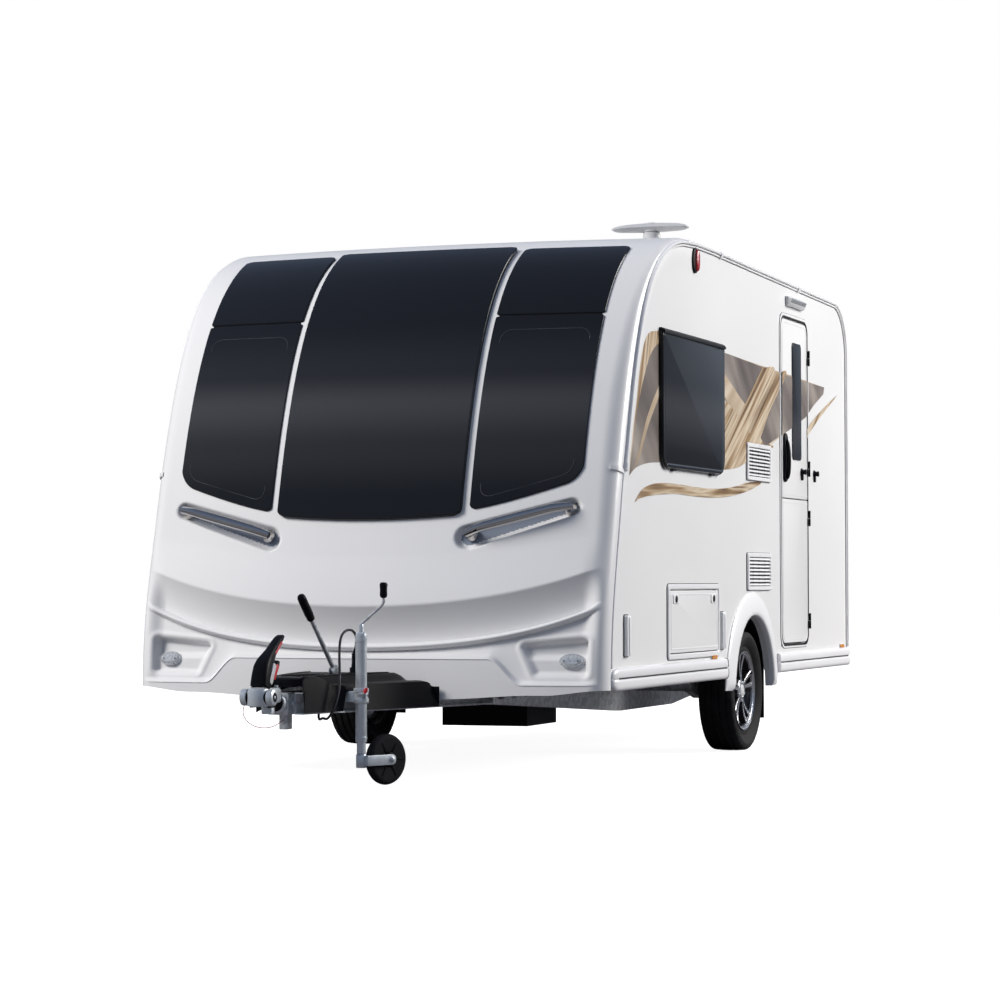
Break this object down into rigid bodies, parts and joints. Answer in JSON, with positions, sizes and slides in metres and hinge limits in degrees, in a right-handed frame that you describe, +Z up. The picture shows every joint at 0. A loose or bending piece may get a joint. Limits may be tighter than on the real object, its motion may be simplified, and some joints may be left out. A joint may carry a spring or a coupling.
{
  "type": "travel caravan",
  "caption": "Touring caravan body on two wheels with a drawbar, jockey wheel, opening doors, rolling wheels and corner steadies, parked level on its jockey wheel.",
  "frame": {"origin": "on the ground, at mid width and mid overall length, under the caravan", "axes": "+X towards the nearside with the entrance door, -Y towards the coupling and direction of travel, +Z up"},
  "size_m": [2.31, 5.761, 2.579],
  "materials": {
    "body_white": "smooth white glass fibre skin",
    "front_moulding": "glossy moulded front, silver white",
    "white_trim": "glossy white plastic",
    "floor_ply": "sealed ply",
    "dark_glazing": "dark tinted acrylic",
    "black_plastic": "fine grained black plastic",
    "black_rubber": "dull black rubber",
    "bright_metal": "bright chrome",
    "amber_lens": "amber and clear lens plastic",
    "red_lens": "red lens plastic",
    "rooflight_plastic": "opal acrylic",
    "galvanised_steel": "dull galvanised steel",
    "zinc_steel": "bright zinc plated steel",
    "cord_rubber": "black cable sheath",
    "red_cable": "thin red coated cable",
    "grey_plastic": "light grey plastic",
    "tyre": "black tyre rubber",
    "wheel_alloy": "painted alloy wheel"
  },
  "bodies": {
    "caravan": {"floor_panel": "floor_ply", "side_wall_near": "body_white", "side_wall_off": "body_white", "front_panel": "front_moulding", "roof_panel": "body_white", "rear_panel": "body_white", "front_window_centre": "dark_glazing", "front_side_windows": "dark_glazing", "side_window_near": "dark_glazing", "side_windows_off": "dark_glazing", "edge_rails": "white_trim", "side_skirts": "white_trim", "wheel_spats": "white_trim", "wheel_boxes": "black_plastic", "mudflaps": "black_rubber", "grab_handles": "bright_metal", "marker_lamps": "amber_lens", "rear_lamp_clusters": "red_lens", "rear_bumper": "white_trim", "fridge_vents": "white_trim", "rooflights": "rooflight_plastic", "door_frame": "white_trim", "locker_liner": "white_trim", "service_liner": "white_trim", "chassis_rails": "galvanised_steel", "cross_members": "galvanised_steel", "drawbar_arms": "galvanised_steel", "overrun_housing": "galvanised_steel", "axle_beam": "galvanised_steel", "coupling_head": "zinc_steel", "stabiliser_lever": "black_plastic", "handbrake_lever": "black_plastic", "drawbar_cover": "black_plastic", "jockey_clamp": "zinc_steel", "jockey_tube": "zinc_steel", "towing_plug": "black_plastic", "towing_lead": "cord_rubber", "breakaway_cable": "red_cable", "steady_brackets": "galvanised_steel", "underfloor_box": "black_plastic", "aerial_mast": "grey_plastic"},
    "wheel_near": {"tyre_near": "tyre", "rim_near": "wheel_alloy"},
    "wheel_off": {"tyre_off": "tyre", "rim_off": "wheel_alloy"},
    "upper_door": {"upper_door": "body_white", "door_window": "dark_glazing", "door_handle": "black_plastic"},
    "lower_door": {"lower_door": "body_white"},
    "locker_door": {"locker_door": "body_white"},
    "service_door": {"service_door": "body_white"},
    "jockey_slider": {"jockey_slider": "zinc_steel"},
    "jockey_fork": {"jockey_fork": "zinc_steel"},
    "jockey_wheel": {"jockey_wheel": "black_rubber"},
    "steady_front_near": {"steady_front_near": "galvanised_steel"},
    "steady_front_off": {"steady_front_off": "galvanised_steel"},
    "steady_rear_near": {"steady_rear_near": "galvanised_steel"},
    "steady_rear_off": {"steady_rear_off": "galvanised_steel"},
    "aerial_head": {"aerial_head": "grey_plastic"}
  },
  "joints": [
    {"name": "wheel_near_spin", "type": "hinge", "parent": "caravan", "child": "wheel_near", "pos_m": [1.0095, 0.7135, 0.303], "axis": [1, 0, 0], "continuous": true},
    {"name": "wheel_off_spin", "type": "hinge", "parent": "caravan", "child": "wheel_off", "pos_m": [-1.0095, 0.7135, 0.303], "axis": [1, 0, 0], "continuous": true},
    {"name": "upper_door_hinge", "type": "hinge", "parent": "caravan", "child": "upper_door", "pos_m": [1.133, 1.8985, 1.45], "axis": [0, 0, 1], "range_deg": [0, 155]},
    {"name": "lower_door_hinge", "type": "hinge", "parent": "caravan", "child": "lower_door", "pos_m": [1.133, 1.8985, 0.75], "axis": [0, 0, 1], "range_deg": [0, 155]},
    {"name": "locker_door_hinge", "type": "hinge", "parent": "caravan", "child": "locker_door", "pos_m": [1.128, -0.3465, 0.522], "axis": [0, 1, 0], "range_deg": [0, 95]},
    {"name": "service_door_hinge", "type": "hinge", "parent": "caravan", "child": "service_door", "pos_m": [-1.128, 2.2065, 0.738], "axis": [0, 0, -1], "range_deg": [0, 110]},
    {"name": "jockey_slide", "type": "slide", "parent": "caravan", "child": "jockey_slider", "axis": [0, 0, 1], "range_m": [-0.15, 0.04]},
    {"name": "jockey_swivel", "type": "hinge", "parent": "jockey_slider", "child": "jockey_fork", "pos_m": [0.25, -2.3465, 0.13], "axis": [0, 0, 1], "continuous": true},
    {"name": "jockey_wheel_spin", "type": "hinge", "parent": "jockey_fork", "child": "jockey_wheel", "pos_m": [0.30917, -2.21962, 0.108], "axis": [-0.9063, 0.4226, 0], "continuous": true},
    {"name": "steady_front_near_hinge", "type": "hinge", "parent": "caravan", "child": "steady_front_near", "pos_m": [0.86, -0.8065, 0.416], "axis": [1, 0, 0], "range_deg": [0, 53]},
    {"name": "steady_rear_near_hinge", "type": "hinge", "parent": "caravan", "child": "steady_rear_near", "pos_m": [0.86, 2.0335, 0.416], "axis": [-1, 0, 0], "range_deg": [0, 53]},
    {"name": "steady_front_off_hinge", "type": "hinge", "parent": "caravan", "child": "steady_front_off", "pos_m": [-0.86, -0.8065, 0.416], "axis": [1, 0, 0], "range_deg": [0, 53]},
    {"name": "steady_rear_off_hinge", "type": "hinge", "parent": "caravan", "child": "steady_rear_off", "pos_m": [-0.86, 2.0335, 0.416], "axis": [-1, 0, 0], "range_deg": [0, 53]},
    {"name": "aerial_turn", "type": "hinge", "parent": "caravan", "child": "aerial_head", "pos_m": [0.9, -0.2765, 2.54], "axis": [0, 0, 1], "range_deg": [-170, 170]}
  ]
}
